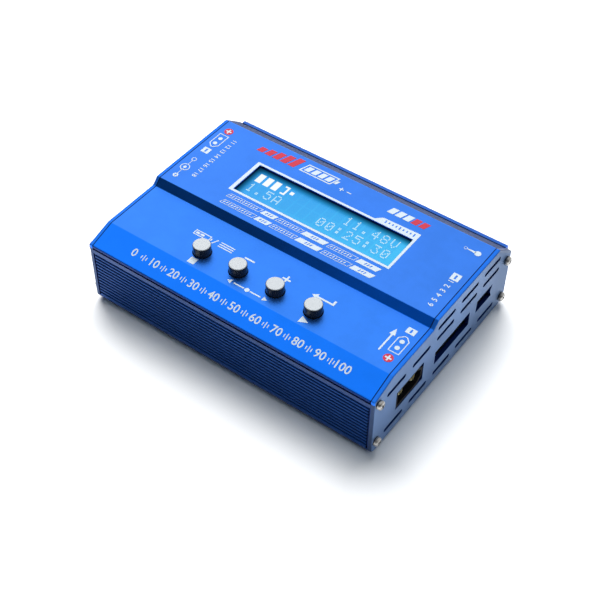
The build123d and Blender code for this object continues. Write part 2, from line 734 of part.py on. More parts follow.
def transistors():
    """Power transistors lying on the thermal pad, tabs to the rear and leads up to the board."""
    pieces = []
    base = FLOOR + PAD
    for x in spread(TRANSISTOR_COUNT, TRANSISTOR_PITCH):
        half = TRANSISTOR_WIDTH / 2
        rear = TRANSISTOR_LENGTH / 2
        front = rear - TRANSISTOR_LENGTH
        tab = block(x - half, x + half, front, rear, base, base + TRANSISTOR_TAB)
        tab -= post(x, rear - TAB_HOLE_INSET, base, base + TRANSISTOR_TAB, TAB_HOLE_R)
        body = block(x - half, x + half, front, front + BODY_LENGTH, base, base + TRANSISTOR_BODY)
        piece = tab + body
        lead_z = base + TRANSISTOR_BODY / 2
        bend = front - LEAD_REACH
        for lead_x in spread(3, LEAD):
            x0 = x + lead_x - PIN / 2
            piece += block(x0, x0 + PIN, bend, front, lead_z - PIN / 2, lead_z + PIN / 2)
            piece += block(x0, x0 + PIN, bend, bend + PIN, lead_z - PIN / 2, BOARD_BOTTOM)
        pieces.append(piece)
    return pieces


def thermal_pad():
    """Insulating pad between the transistors and the tray."""
    half = TRANSISTOR_COUNT * TRANSISTOR_PITCH / 2
    return block(-half, half, -PAD_DEPTH / 2, PAD_DEPTH / 2, FLOOR, FLOOR + PAD)


def inductor(x, y):
    """Drum-core inductor: square ferrite flanges on a round core, and its copper winding."""
    half = INDUCTOR_SIZE / 2
    top = BOARD_TOP + INDUCTOR_HEIGHT
    low = BOARD_TOP + INDUCTOR_FLANGE
    high = top - INDUCTOR_FLANGE
    core = block(x - half, x + half, y - half, y + half, BOARD_TOP, low)
    core += block(x - half, x + half, y - half, y + half, high, top)
    core += post(x, y, low, high, INDUCTOR_CORE_R)
    winding = post(x, y, low + STACK_GAP, high - STACK_GAP, WINDING_R)
    winding -= post(x, y, low, high, INDUCTOR_CORE_R + STACK_GAP)
    return core, winding


def capacitor(x, y):
    """Upright electrolytic capacitor with a rolled neck."""
    can = post(x, y, BOARD_TOP, BOARD_TOP + CAPACITOR_HEIGHT, CAPACITOR_R)
    can = fillet(can.edges().group_by(Axis.Z)[-1], CAPACITOR_FILLET)
    neck = BOARD_TOP + 4 * CAPACITOR_GROOVE
    ring = post(x, y, neck - CAPACITOR_GROOVE, neck + CAPACITOR_GROOVE, CAPACITOR_R + 1)
    ring -= post(x, y, neck - 1, neck + 1, CAPACITOR_R - CAPACITOR_GROOVE)
    return can - ring


def chip(x, y, size, leads):
    """Square chip with flat leads on its four sides."""
    half = size / 2
    body = block(x - half, x + half, y - half, y + half, BOARD_TOP, BOARD_TOP + CHIP_HEIGHT)
    reach = half + CHIP_LEAD_REACH
    thin = CHIP_LEAD / 2
    for step in spread(leads, (size - 1) / (leads - 1)):
        body += block(x - reach, x + reach, y + step - thin, y + step + thin, BOARD_TOP, BOARD_TOP + thin)
        body += block(x + step - thin, x + step + thin, y - reach, y + reach, BOARD_TOP, BOARD_TOP + thin)
    return body


def on_board(x, y, size):
    """Block of a given size standing on the power board, centred at a place."""
    half_x = size[0] / 2
    half_y = size[1] / 2
    return block(x - half_x, x + half_x, y - half_y, y + half_y, BOARD_TOP, BOARD_TOP + size[2])


def balance_resistors():
    """A row of power resistors behind the balance socket, one for each cell."""
    x = SOCKET_MOUTH - SOCKET_LENGTH - RESISTOR_GAP
    return [on_board(x, BALANCE_Y + y, RESISTOR) for y in spread(BALANCE_PINS - 1, RESISTOR_PITCH)]


def current_shunt():
    """Bridge-shaped metal strip that measures the output current."""
    x = POWER_MOUTH - POWER_LENGTH - SHUNT_GAP
    under = (SHUNT[0] + 1, SHUNT[1] - 2 * SHUNT_STRIP, SHUNT[2] - SHUNT_STRIP)
    return on_board(x, OUTPUT_Y, SHUNT) - on_board(x, OUTPUT_Y, under)


def buzzer():
    """Sounder: round can with a sound hole."""
    x, y = BUZZER_PLACE
    top = BOARD_TOP + BUZZER_HEIGHT
    return post(x, y, BOARD_TOP, top, BUZZER_R) - post(x, y, top - BUZZER_HEIGHT / 2, top, BUZZER_HOLE_R)


def input_fuse():
    """Surface-mounted fuse behind the input socket."""
    return on_board(-(POWER_MOUTH - POWER_LENGTH - FUSE_GAP), INPUT_Y, FUSE)


def build():
    """Write every node."""
    turn = Rot(0, 0, 180)
    write("lower_case", [lower_case()])
    write("top_cover", [top_cover()])
    write("right_end_plate", [end_plate(right_openings())])
    write("left_end_plate", [mirror(end_plate(left_openings()), about=Plane.YZ)])
    screws = plate_screws()
    write("right_plate_screws", screws)
    write("left_plate_screws", [mirror(screw, about=Plane.YZ) for screw in screws])
    write("rubber_feet", feet())

    corners = four_corners(STANDOFF_X, STANDOFF_Y)
    write("main_board", [main_board()])
    write("board_standoffs", standoffs())
    write("board_screws", board_screws(corners, BOARD_TOP))

    housing, pins = power_socket(OUTPUT_Y)
    write("output_socket_housing", [housing])
    write("output_socket_pins", pins)
    housing, pins = power_socket(-INPUT_Y)
    write("input_socket_housing", [turn * housing])
    write("input_socket_pins", [turn * pin for pin in pins])
    housing, pins = pin_socket(BALANCE_Y, BALANCE_PINS, BOARD_TOP, BALANCE_TOP)
    write("balance_socket_housing", [housing])
    write("balance_socket_pins", pins)
    housing, pins = pin_socket(SENSOR_Y, SENSOR_PINS, SENSOR_BASE, SENSOR_TOP)
    write("sensor_socket_housing", [housing])
    write("sensor_socket_pins", pins)
    body, pin = barrel_jack(-JACK_Y)
    write("jack_body", [turn * body])
    write("jack_centre_pin", [turn * pin])

    for name, x in zip(BUTTONS, spread(BUTTON_COUNT, BUTTON_PITCH)):
        write(f"{name}_button", [button_cap(x)])
        write(f"{name}_switch_plunger", [plunger(x)])
    write("switch_bodies", switches())
    write("button_board", [key_board()])
    write("button_board_spacers", spacers(key_places(), KEY_BOARD_BOTTOM))
    write("button_board_screws", board_screws(key_places(), KEY_BOARD_TOP))
    header_y = FRONT + KEY_BOARD_REAR - KEY_HEADER_INSET
    write("button_board_header", [pin_header(0, header_y, KEY_HEADER_PINS, KEY_BOARD_BOTTOM)])

    write("lcd_board", [lcd_board()])
    write("lcd_spacers", spacers(lcd_places(), LCD_BOARD_BOTTOM))
    write("lcd_screws", board_screws(lcd_places(), LCD_BOARD_TOP))
    header_y = DISPLAY_Y + LCD_HOLE_Y
    write("lcd_header", [pin_header(LCD_HEADER_X, header_y, LCD_PINS, LCD_BOARD_BOTTOM)])
    inset = BEZEL + STACK_GAP
    write("lcd_backlight", [lcd_layer(inset, LCD_BOARD_TOP, GLASS_TOP - GLASS)])
    write("lcd_glass", [lcd_layer(inset, GLASS_TOP - GLASS, GLASS_TOP)])
    write("lcd_bezel", [lcd_bezel()])

    write("power_transistors", transistors())
    write("thermal_pad", [thermal_pad()])
    coils = [inductor(x, y) for x, y in INDUCTOR_PLACES]
    write("inductor_cores", [core for core, winding in coils])
    write("inductor_windings", [winding for core, winding in coils])
    write("filter_capacitors", [capacitor(x, y) for x, y in CAPACITOR_PLACES])
    write("controller_chip", [chip(*CONTROLLER)])
    write("regulator_chip", [chip(*REGULATOR)])
    write("balance_resistors", balance_resistors())
    write("current_shunt", [current_shunt()])
    write("buzzer", [buzzer()])
    write("input_fuse", [input_fuse()])


os.makedirs("parts", exist_ok=True)
build()
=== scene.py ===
"""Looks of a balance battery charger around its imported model, in metres."""
import math

import bpy
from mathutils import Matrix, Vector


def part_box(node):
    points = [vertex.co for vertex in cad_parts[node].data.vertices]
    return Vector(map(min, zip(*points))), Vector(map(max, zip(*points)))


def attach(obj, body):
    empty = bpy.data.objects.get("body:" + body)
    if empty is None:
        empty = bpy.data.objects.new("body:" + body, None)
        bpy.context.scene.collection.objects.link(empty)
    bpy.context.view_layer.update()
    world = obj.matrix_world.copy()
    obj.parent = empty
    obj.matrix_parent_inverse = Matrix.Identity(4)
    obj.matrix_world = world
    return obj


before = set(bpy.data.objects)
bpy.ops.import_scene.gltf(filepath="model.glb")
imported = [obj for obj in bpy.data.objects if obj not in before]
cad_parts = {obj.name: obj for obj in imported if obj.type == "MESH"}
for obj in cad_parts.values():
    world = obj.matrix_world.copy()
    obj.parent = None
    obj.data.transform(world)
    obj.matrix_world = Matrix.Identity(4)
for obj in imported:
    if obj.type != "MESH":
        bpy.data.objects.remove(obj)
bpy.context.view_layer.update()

# ---- Lower case -------------------------------------------------------------
# One aluminium extrusion is the floor and both long walls. Its front and rear
# carry fine ribs from the die. It is bead blasted and dyed blue. Its blue is
# painted darker as painted shade, darkest in the grooves; the flat lands are
# painted lighter as a painted reflection and the top of the rear rail lighter as
# painted light.


class Wire:
    """A socket's value in an expression: arithmetic on it adds Math nodes."""

    def __init__(self, finish, socket):
        self.finish = finish
        self.socket = socket

    def maths(self, operation, first, second):
        return self.finish.node("ShaderNodeMath", {"operation": operation}, {0: first, 1: second})

    def __add__(self, other):
        return self.maths("ADD", self, other)

    __radd__ = __add__

    def __sub__(self, other):
        return self.maths("SUBTRACT", self, other)

    def __rsub__(self, other):
        return self.maths("SUBTRACT", other, self)

    def __mul__(self, other):
        return self.maths("MULTIPLY", self, other)

    __rmul__ = __mul__

    def __abs__(self):
        return self.finish.node("ShaderNodeMath", {"operation": "ABSOLUTE"}, {0: self})


class Finish:
    """A named finish: one shader, the place on the object in mm, and one method that makes nodes."""

    def __init__(self, name, **surface):
        self.material = bpy.data.materials.new(name)
        self.material.use_nodes = True
        self.tree = self.material.node_tree
        self.shader = self.tree.nodes["Principled BSDF"]
        self.lay({words.replace("_", " "): value for words, value in surface.items()})
        place = self.node("ShaderNodeTexCoord", out="Object")
        self.mm = self.node("ShaderNodeVectorMath", {"operation": "SCALE"},
                            {"Vector": place, "Scale": 1000.0})
        parts = self.node("ShaderNodeSeparateXYZ", sockets={"Vector": self.mm})
        self.x, self.y, self.z = (Wire(self, out) for out in parts.socket.node.outputs)

    def fill(self, node, sockets):
        for key, value in sockets.items():
            if isinstance(value, Wire):
                self.tree.links.new(value.socket, node.inputs[key])
            elif isinstance(value, tuple) and len(node.inputs[key].default_value) == 4:
                node.inputs[key].default_value = (*value[:3], 1.0)
            else:
                node.inputs[key].default_value = value

    def node(self, kind, settings={}, sockets={}, out=0):
        made = self.tree.nodes.new(kind)
        for key, value in settings.items():
            setattr(made, key, value)
        self.fill(made, sockets)
        return Wire(self, made.outputs[out])

    def lay(self, sockets):
        """Sets or links sockets of the shader."""
        self.fill(self.shader, sockets)

    def fade(self, value, low, high):
        """0 up to low, 1 from high on, smooth between."""
        return self.node("ShaderNodeMapRange", {"interpolation_type": "SMOOTHSTEP"},
                         {"Value": value, "From Min": low, "From Max": high})

    def cloud(self, size, detail=2.0, place=None):
        """Soft noise with blotches of a size in mm."""
        return self.node("ShaderNodeTexNoise", {}, {"Vector": place or self.mm, "Scale": 1.0 / size,
                                                    "Detail": detail, "Roughness": 0.55})

    def mix(self, share, under, over):
        """Two colours, or colour wires, mixed."""
        return self.node("ShaderNodeMix", {"data_type": "RGBA"}, {0: share, 6: under, 7: over}, out=2)

    def emboss(self, height, depth, strength=1.0):
        """Links a height from 0 to 1, depth mm deep, to the shader's normal."""
        self.lay({"Normal": self.node("ShaderNodeBump", {}, {"Strength": strength, "Distance": depth * 0.001,
                                                            "Height": height})})


def dress(finish, *names):
    """Gives a finish to nodes of the model."""
    for name in names:
        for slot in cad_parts[name].material_slots:
            slot.material = finish.material


def blasted(finish, colour, roughness, grain=0.012):
    """Bead-blasted and dyed aluminium: fine pits, slow drift in the dye, soft sheen."""
    pits = finish.cloud(0.22, 3.0)
    drift = finish.cloud(9.0, 3.0)
    deeper = finish.node("ShaderNodeVectorMath", {"operation": "SCALE"}, {"Vector": colour, "Scale": 0.90})
    tone = finish.fade(drift * 0.75 + pits * 0.25, 0.35, 0.65)
    finish.lay({"Base Color": finish.mix(tone, deeper, colour),
                "Roughness": roughness + finish.fade(drift + pits, 0.8, 1.2) * 0.05})
    finish.emboss(pits, grain, 0.35)


# The extrusion's blue is painted darker than its dye as painted shade.
SHADED_RIB_BLUE = (0.012, 0.062, 0.245)
GROOVE_SHADE_BLUE = (0.005, 0.022, 0.095)
LAND_REFLECTION_BLUE = (0.045, 0.080, 0.20)
LIT_RAIL_BLUE = (0.042, 0.160, 0.62)
RIBS_TOP, RIBS_BOTTOM = 23.4, 2.3
case_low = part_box("lower_case")[0]
FRONT = -case_low.y * 1000.0
case_metal = Finish("blue_extrusion", Metallic=1.0)
depth = FRONT - abs(case_metal.y)
groove_shade = case_metal.fade(depth, 0.05, 0.30)
on_wall = case_metal.fade(depth, 1.2, 0.8)
# The flat lands above and below the ribs are painted lighter grey-blue as a painted reflection.
land = case_metal.fade(case_metal.z, RIBS_TOP - 0.3, RIBS_TOP)
foot_edge = case_metal.fade(case_metal.z, RIBS_BOTTOM + 0.3, RIBS_BOTTOM)
# Painted shade in the rib grooves: they are painted darker still.
wall_shading = case_metal.mix(groove_shade, SHADED_RIB_BLUE, GROOVE_SHADE_BLUE)
wall_shading = case_metal.mix(case_metal.fade(land + foot_edge, 0.2, 0.8), wall_shading, LAND_REFLECTION_BLUE)
wall_shading = case_metal.mix(on_wall, SHADED_RIB_BLUE, wall_shading)
# The top of the rear rail is painted a lighter blue as painted light.
rail = case_metal.fade(case_metal.z, 24.9, 25.0) * case_metal.fade(case_metal.y, 30.0, 35.0)
wall_shading = case_metal.mix(rail, wall_shading, LIT_RAIL_BLUE)
blasted(case_metal, wall_shading, 0.42)
dress(case_metal, "lower_case")

# ---- Feet -------------------------------------------------------------------
# Four round feet punched from black rubber sheet and glued under the floor.
# The skin is matte with a fine cast texture and picks up grey dust low down.

foot_rubber = Finish("foot_rubber", Specular_IOR_Level=0.3)
skin = foot_rubber.cloud(0.35, 3.0)
dust = foot_rubber.fade(foot_rubber.z + skin * 0.5, 0.6, 0.1)
foot_rubber.lay({"Base Color": foot_rubber.mix(dust, (0.014, 0.014, 0.015), (0.06, 0.058, 0.055)),
                 "Roughness": 0.75 + skin * 0.2})
foot_rubber.emboss(skin, 0.03, 0.6)
dress(foot_rubber, "rubber_feet")

# ---- Boards -----------------------------------------------------------------
# Glass-fibre boards under green lacquer. Copper tracks show through it as
# lighter bands, with tinned pads.

lacquer = Finish("board_lacquer", Coat_Weight=0.4, Coat_Roughness=0.2)
cells = lacquer.node("ShaderNodeTexBrick", {"offset": 0.37, "squash": 1.6},
                     {"Vector": lacquer.mm, "Scale": 0.22, "Mortar Size": 0.05, "Mortar Smooth": 0.2},
                     out="Fac")
pads = lacquer.node("ShaderNodeTexVoronoi", {}, {"Vector": lacquer.mm, "Scale": 0.45}, out="Distance")
weave = lacquer.cloud(0.4)
green = lacquer.mix(cells, (0.010, 0.105, 0.035), (0.022, 0.19, 0.07))
green = lacquer.mix(lacquer.fade(pads, 0.22, 0.18), green, (0.55, 0.55, 0.52))
green = lacquer.mix(lacquer.fade(weave, 0.62, 0.72) * 0.5, green, (0.006, 0.06, 0.02))
lacquer.lay({"Base Color": green, "Roughness": 0.35 + weave * 0.2})
lacquer.emboss(cells, 0.03, 0.5)
dress(lacquer, "main_board", "button_board", "lcd_board")

# ---- Standoffs and spacers --------------------------------------------------
# Turned brass pillars carry the main board and nylon tubes space the two upper
# boards. The brass keeps its turning lines and the nylon is slightly milky.

brass = Finish("turned_brass", Metallic=1.0)
rings = brass.node("ShaderNodeTexWave", {"bands_direction": "Z"},
                   {"Vector": brass.mm, "Scale": 2.2, "Distortion": 0.4}, out="Fac")
tarnish = brass.cloud(1.6, 3.0)
brass.lay({"Base Color": brass.mix(brass.fade(tarnish, 0.4, 0.7), (0.78, 0.55, 0.20), (0.50, 0.30, 0.10)),
           "Roughness": 0.22 + tarnish * 0.2})
brass.emboss(rings, 0.02, 0.5)
dress(brass, "board_standoffs")

nylon = Finish("milky_nylon", Subsurface_Weight=0.1, Subsurface_Scale=0.001)
milk = nylon.cloud(1.2, 3.0)
nylon.lay({"Base Color": nylon.mix(milk, (0.72, 0.70, 0.62), (0.86, 0.85, 0.80)),
           "Roughness": 0.4 + milk * 0.2})
nylon.emboss(milk, 0.02, 0.4)
dress(nylon, "button_board_spacers", "lcd_spacers")

# ---- Parts on the main board ------------------------------------------------
# Moulded chips with a matte top, ferrite cores with copper wire round them,
# sleeved capacitors, a ceramic fuse, a soft heat pad and plated shunt strip.

epoxy = Finish("chip_epoxy")
sand = epoxy.cloud(0.18, 3.0)
epoxy.lay({"Base Color": epoxy.mix(sand, (0.012, 0.012, 0.013), (0.030, 0.030, 0.032)),
           "Roughness": 0.55 + sand * 0.25})
epoxy.emboss(sand, 0.02, 0.5)
dress(epoxy, "power_transistors", "controller_chip", "regulator_chip", "balance_resistors")

ferrite = Finish("ferrite")
speck = ferrite.cloud(0.3, 4.0)
ferrite.lay({"Base Color": ferrite.mix(speck, (0.018, 0.018, 0.020), (0.055, 0.055, 0.060)),
             "Roughness": 0.5 + speck * 0.3})
ferrite.emboss(speck, 0.03, 0.5)
dress(ferrite, "inductor_cores")

copper = Finish("enamelled_copper", Metallic=1.0, Coat_Weight=0.6, Coat_Roughness=0.12)
turns = copper.node("ShaderNodeTexWave", {"bands_direction": "Z"},
                    {"Vector": copper.mm, "Scale": 0.55, "Distortion": 0.2}, out="Fac")
copper.lay({"Base Color": copper.mix(turns, (0.25, 0.07, 0.02), (0.80, 0.32, 0.12)),
            "Roughness": 0.25 + turns * 0.15})
copper.emboss(turns, 0.15, 0.8)
dress(copper, "inductor_windings")

sleeve = Finish("capacitor_sleeve", Coat_Weight=0.3, Coat_Roughness=0.2)
wrinkle = sleeve.cloud(1.5, 3.0)
can_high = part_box("filter_capacitors")[1]
lid = sleeve.fade(sleeve.z, can_high.z * 1000.0 - 0.12, can_high.z * 1000.0 - 0.06)
sleeve.lay({"Base Color": sleeve.mix(lid, sleeve.mix(wrinkle, (0.02, 0.022, 0.03), (0.05, 0.055, 0.075)),
                                     (0.62, 0.62, 0.63)),
            "Metallic": lid, "Roughness": 0.35 + wrinkle * 0.2})
sleeve.emboss(wrinkle, 0.05, 0.5)
dress(sleeve, "filter_capacitors")

ceramic = Finish("fuse_ceramic")
glaze = ceramic.cloud(0.8, 3.0)
ceramic.lay({"Base Color": ceramic.mix(glaze, (0.62, 0.60, 0.52), (0.80, 0.79, 0.73)),
             "Roughness": 0.3 + glaze * 0.2})
ceramic.emboss(glaze, 0.02, 0.4)
dress(ceramic, "input_fuse")

pad_grey = Finish("heat_pad")
crumb = pad_grey.cloud(0.25, 3.0)
pad_grey.lay({"Base Color": pad_grey.mix(crumb, (0.24, 0.26, 0.27), (0.36, 0.38, 0.39)),
              "Roughness": 0.7 + crumb * 0.2})
pad_grey.emboss(crumb, 0.03, 0.5)
dress(pad_grey, "thermal_pad")

# ---- Sockets ----------------------------------------------------------------
# Black glass-filled nylon mouldings soldered to the board. Round gold-plated
# contacts, split at the tip, stand in the two power sockets, and square pins
# in the rows. The moulded skin is satin, with a fine spark-eroded texture.

moulding = Finish("black_nylon", Specular_IOR_Level=0.12)
spark = moulding.cloud(0.16, 3.0)
flow = moulding.cloud(3.0, 2.0)
moulding.lay({"Base Color": moulding.mix(flow, (0.002, 0.002, 0.003), (0.006, 0.006, 0.007)),
              "Roughness": 0.5 + spark * 0.2})
moulding.emboss(spark, 0.015, 0.5)
dress(moulding, "output_socket_housing", "input_socket_housing", "balance_socket_housing",
      "sensor_socket_housing", "jack_body", "button_board_header", "lcd_header", "switch_bodies",
      "buzzer", "stop_switch_plunger", "minus_switch_plunger", "plus_switch_plunger", "start_switch_plunger")

gold = Finish("gold_plate", Metallic=1.0)
rub = gold.cloud(0.7, 3.0)
gold.lay({"Base Color": gold.mix(gold.fade(rub, 0.45, 0.7), (1.0, 0.90, 0.46), (0.90, 0.78, 0.42)),
          "Roughness": 0.18 + rub * 0.2})
gold.emboss(gold.cloud(0.12, 2.0), 0.006, 0.4)
dress(gold, "output_socket_pins", "input_socket_pins", "balance_socket_pins", "sensor_socket_pins",
      "jack_centre_pin", "current_shunt")

# ---- Display module ---------------------------------------------------------
# A black-coated steel frame is folded round the glass, with a milky light block
# behind it. The lit glass is cyan blue, shows a faint grid of character cells
# and is brighter towards the front right. Its glow is painted dark towards the
# window's rim at the back, left and right as the rim's painted shadow.

glass_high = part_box("lcd_glass")[1]
GLASS_TOP = glass_high.z * 1000.0
COLUMN, ROW = 3.71, 5.78
FIRST_COLUMN, LOWER_ROW = -28.7, 9.85
CELL_WIDTH, CELL_HEIGHT = 3.05, 5.3

lit = Finish("lit_display", Coat_Weight=0.15, Coat_Roughness=0.1, Roughness=0.4, Specular_IOR_Level=0.2)
# Painted shadow of the window's rim: the glow is darkened towards the back, left and right.
from_left = lit.fade(lit.x, -33.0, -28.6)
from_back = lit.fade(lit.y, 20.6, 16.4)
from_right = lit.fade(lit.x, 33.0, 31.4)
clear_of_rim_shadow = from_left * from_back * from_right
sweep = lit.fade(lit.x + lit.y * -1.2, -50.0, 25.0)
across = lit.node("ShaderNodeMath", {"operation": "PINGPONG"}, {0: lit.x - FIRST_COLUMN, 1: COLUMN / 2})
along = lit.node("ShaderNodeMath", {"operation": "PINGPONG"}, {0: lit.y - LOWER_ROW, 1: ROW / 2})
cell = (lit.fade(across, CELL_WIDTH / 2 + 0.10, CELL_WIDTH / 2 - 0.06)
        * lit.fade(along, CELL_HEIGHT / 2 + 0.10, CELL_HEIGHT / 2 - 0.06)
        * lit.fade(abs(lit.x + 0.9), 29.9, 29.7) * lit.fade(abs(lit.y - 12.74), 5.8, 5.6))
haze = lit.cloud(5.0, 2.0)
blue = lit.mix(sweep, (0.020, 0.36, 0.86), (0.036, 0.52, 0.92))
blue = lit.mix(cell * 0.22, blue, (0.010, 0.25, 0.75))
blue = lit.mix(lit.fade(haze, 0.3, 0.7) * 0.12, blue, (0.03, 0.42, 1.0))
lit.lay({"Base Color": (0.002, 0.02, 0.04), "Emission Color": lit.mix(clear_of_rim_shadow, (0.002, 0.035, 0.080), blue),
         "Emission Strength": 0.92})
lit.emboss(haze, 0.004, 0.2)
dress(lit, "lcd_glass")

block = Finish("light_block", Roughness=0.5)
milky = block.cloud(2.0, 3.0)
block.lay({"Base Color": block.mix(milky, (0.50, 0.68, 0.85), (0.70, 0.84, 0.95)),
           "Roughness": 0.4 + milky * 0.2})
block.emboss(milky, 0.02, 0.3)
dress(block, "lcd_backlight")

coated = Finish("coated_steel")
peel = coated.cloud(0.5, 3.0)
coated.lay({"Base Color": coated.mix(peel, (0.004, 0.004, 0.006), (0.012, 0.012, 0.016)),
            "Roughness": 0.45 + peel * 0.15})
coated.emboss(peel, 0.02, 0.4)
dress(coated, "lcd_bezel")

# Characters on the glass: square dots, five across and seven down in each cell,
# laid as one thin layer of pale ink. The first cells are a charge-level symbol.
DOTS = {
    "0": (".###.", "#...#", "#..##", "#.#.#", "##..#", "#...#", ".###."),
    "1": ("..#..", ".##..", "..#..", "..#..", "..#..", "..#..", ".###."),
    "2": (".###.", "#...#", "....#", "...#.", "..#..", ".#...", "#####"),
    "3": ("#####", "...#.", "..#..", "...#.", "....#", "#...#", ".###."),
    "4": ("...#.", "..##.", ".#.#.", "#..#.", "#####", "...#.", "...#."),
    "5": ("#####", "#....", "####.", "....#", "....#", "#...#", ".###."),
    "8": (".###.", "#...#", "#...#", ".###.", "#...#", "#...#", ".###."),
    "A": (".###.", "#...#", "#...#", "#...#", "#####", "#...#", "#...#"),
    "V": ("#...#", "#...#", "#...#", "#...#", "#...#", ".#.#.", "..#.."),
    ".": (".....", ".....", ".....", ".....", ".....", ".##..", ".##.."),
    ":": (".....", ".##..", ".##..", ".....", ".##..", ".##..", "....."),
}
INK = 0.03


def rectangle(x0, y0, x1, y1):
    return [(x0, y0), (x1, y0), (x1, y1), (x0, y1)]


def lay_flat(made, place, tilt, turn):
    """Makes a curve or text a mesh, then puts it in its place."""
    made.data.extrude = INK * 0.001
    bpy.ops.object.select_all(action="DESELECT")
    made.select_set(True)
    bpy.context.view_layer.objects.active = made
    bpy.ops.object.convert(target="MESH")
    piece = bpy.context.view_layer.objects.active
    piece.location = [value * 0.001 for value in place]
    piece.rotation_euler = (tilt, 0.0, turn)
    bpy.ops.object.transform_apply(location=True, rotation=True, scale=True)
    return piece


def shape(outlines, place, tilt=0.0, turn=0.0):
    """Closed outlines in mm, one inside another for a hole, as a thin layer."""
    bpy.ops.object.select_all(action="DESELECT")
    bpy.ops.curve.primitive_bezier_circle_add()
    drawn = bpy.context.object
    drawn.data.dimensions = "2D"
    drawn.data.fill_mode = "BOTH"
    drawn.data.splines.clear()
    for outline in outlines:
        line = drawn.data.splines.new("POLY")
        line.points.add(len(outline) - 1)
        for point, (x, y) in zip(line.points, outline):
            point.co = (x * 0.001, y * 0.001, 0.0, 1.0)
        line.use_cyclic_u = True
    return lay_flat(drawn, place, tilt, turn)


def one_piece(name, parts, finish, body="case"):
    """Joins printed parts under one name, with their finish and body."""
    bpy.ops.object.select_all(action="DESELECT")
    for part in parts:
        part.select_set(True)
    bpy.context.view_layer.objects.active = parts[0]
    if len(parts) > 1:
        bpy.ops.object.join()
    whole = bpy.context.view_layer.objects.active
    whole.name = name
    whole.data.materials.clear()
    whole.data.materials.append(finish.material)
    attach(whole, body)
    return whole


DOT_X, DOT_Y, DOT_GAP = 0.53, 0.62, 0.14


def characters(words, column, row):
    dots = []
    for count, letter in enumerate(words):
        left = FIRST_COLUMN + (column + count) * COLUMN - 2.5 * DOT_X
        top = LOWER_ROW + row * ROW + 3.5 * DOT_Y
        for down, line in enumerate(DOTS[letter]):
            for right, mark in enumerate(line):
                if mark == "#":
                    x, y = left + right * DOT_X, top - down * DOT_Y
                    dots.append(rectangle(x, y - DOT_Y + DOT_GAP, x + DOT_X - DOT_GAP, y))
    return dots


pale = Finish("pale_dots", Roughness=0.4, Emission_Strength=0.85)
shimmer = pale.cloud(2.5, 2.0)
full_cells = pale.fade(pale.x, -13.0, -14.0) * pale.fade(pale.y, 12.7, 13.0)
dim_white = pale.mix(shimmer, (0.42, 0.76, 0.94), (0.60, 0.88, 1.0))
pale.lay({"Base Color": (0.04, 0.05, 0.06),
          "Emission Color": pale.mix(full_cells, dim_white, (0.97, 1.0, 1.0))})
pale.emboss(shimmer, 0.01, 0.2)

level = [rectangle(x - 1.15, 13.3, x + 1.15, 17.7) for x in (-28.8, -25.4, -22.0)]
level.append([(-19.1, 17.7), (-17.2, 17.7), (-17.2, 13.3), (-19.1, 13.3), (-19.1, 14.0), (-17.9, 14.0),
              (-17.9, 17.0), (-19.1, 17.0)])
level.append(rectangle(-16.0, 14.9, -14.6, 16.4))
cells = (level + characters("1.5A", 0, 0) + characters("11.48V", 10, 1) + characters("00:25:30", 8, 0))
one_piece("display_characters", [shape(cells, (0.0, 0.0, GLASS_TOP + INK * 0.5))], pale)

# ---- Top cover --------------------------------------------------------------
# The cover is folded and milled from aluminium sheet: two decks, a steep step
# between them and a sloping front, with the display window cut through. It is
# bead blasted and anodised bright blue. The lower deck and front slope are
# painted brighter as painted light, the step dark as painted shade with a painted
# highlight to the right, and the rear slope, front lip, window walls and cut ends
# dark as painted shade. The rear slope is also rougher and less metallic.

DECK_BLUE = (0.052, 0.235, 0.88)
LIT_LOWER_BLUE = (0.044, 0.245, 0.95)
LIT_SLOPE_BLUE = (0.010, 0.200, 1.0)
STEP_SHADE_BLUE = (0.004, 0.075, 0.36)
STEP_HIGHLIGHT_BLUE = (0.003, 0.160, 0.95)
INNER_SHADE_BLUE = (0.003, 0.010, 0.060)
REAR_SHADE_BLUE = (0.012, 0.030, 0.100)
LIP_SHADE_BLUE = (0.004, 0.030, 0.16)
cover_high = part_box("top_cover")[1]
DECK = cover_high.z * 1000.0
LOWER_DECK = DECK - 2.4
SLOPE_TOP_Y, SLOPE_DROP, SLOPE_RUN = -32.0, 3.1, 10.0
STEP_FRONT_Y, STEP_BACK_Y, REAR_BREAK_Y = -9.0, -6.4, 32.3
WINDOW = (31.8, 4.05, 19.35)

cover_metal = Finish("bright_blue_sheet", Metallic=1.0)
on_slope = cover_metal.fade(cover_metal.y, SLOPE_TOP_Y + 0.25, SLOPE_TOP_Y - 0.25)
on_upper = cover_metal.fade(cover_metal.y, STEP_BACK_Y - 0.1, STEP_BACK_Y + 0.1)
on_rear = cover_metal.fade(cover_metal.y, REAR_BREAK_Y - 0.1, REAR_BREAK_Y + 0.3)
on_step = (cover_metal.fade(cover_metal.y, STEP_FRONT_Y - 0.15, STEP_FRONT_Y + 0.05)
           * cover_metal.fade(cover_metal.y, STEP_BACK_Y + 0.05, STEP_BACK_Y - 0.15))
# The lower deck and front slope are painted slightly brighter blues than the upper deck as painted light.
dye_and_shading = cover_metal.mix(on_slope, LIT_LOWER_BLUE, LIT_SLOPE_BLUE)
dye_and_shading = cover_metal.mix(on_upper, dye_and_shading, DECK_BLUE)
# The step is painted dark blue as painted shade, lighter towards the right end as a painted highlight.
dye_and_shading = cover_metal.mix(on_step, dye_and_shading, cover_metal.mix(cover_metal.fade(cover_metal.x, -20.0, 50.0),
                                                    STEP_SHADE_BLUE, STEP_HIGHLIGHT_BLUE))
# The rear slope is painted dark as painted shade.
dye_and_shading = cover_metal.mix(on_rear, dye_and_shading, REAR_SHADE_BLUE)
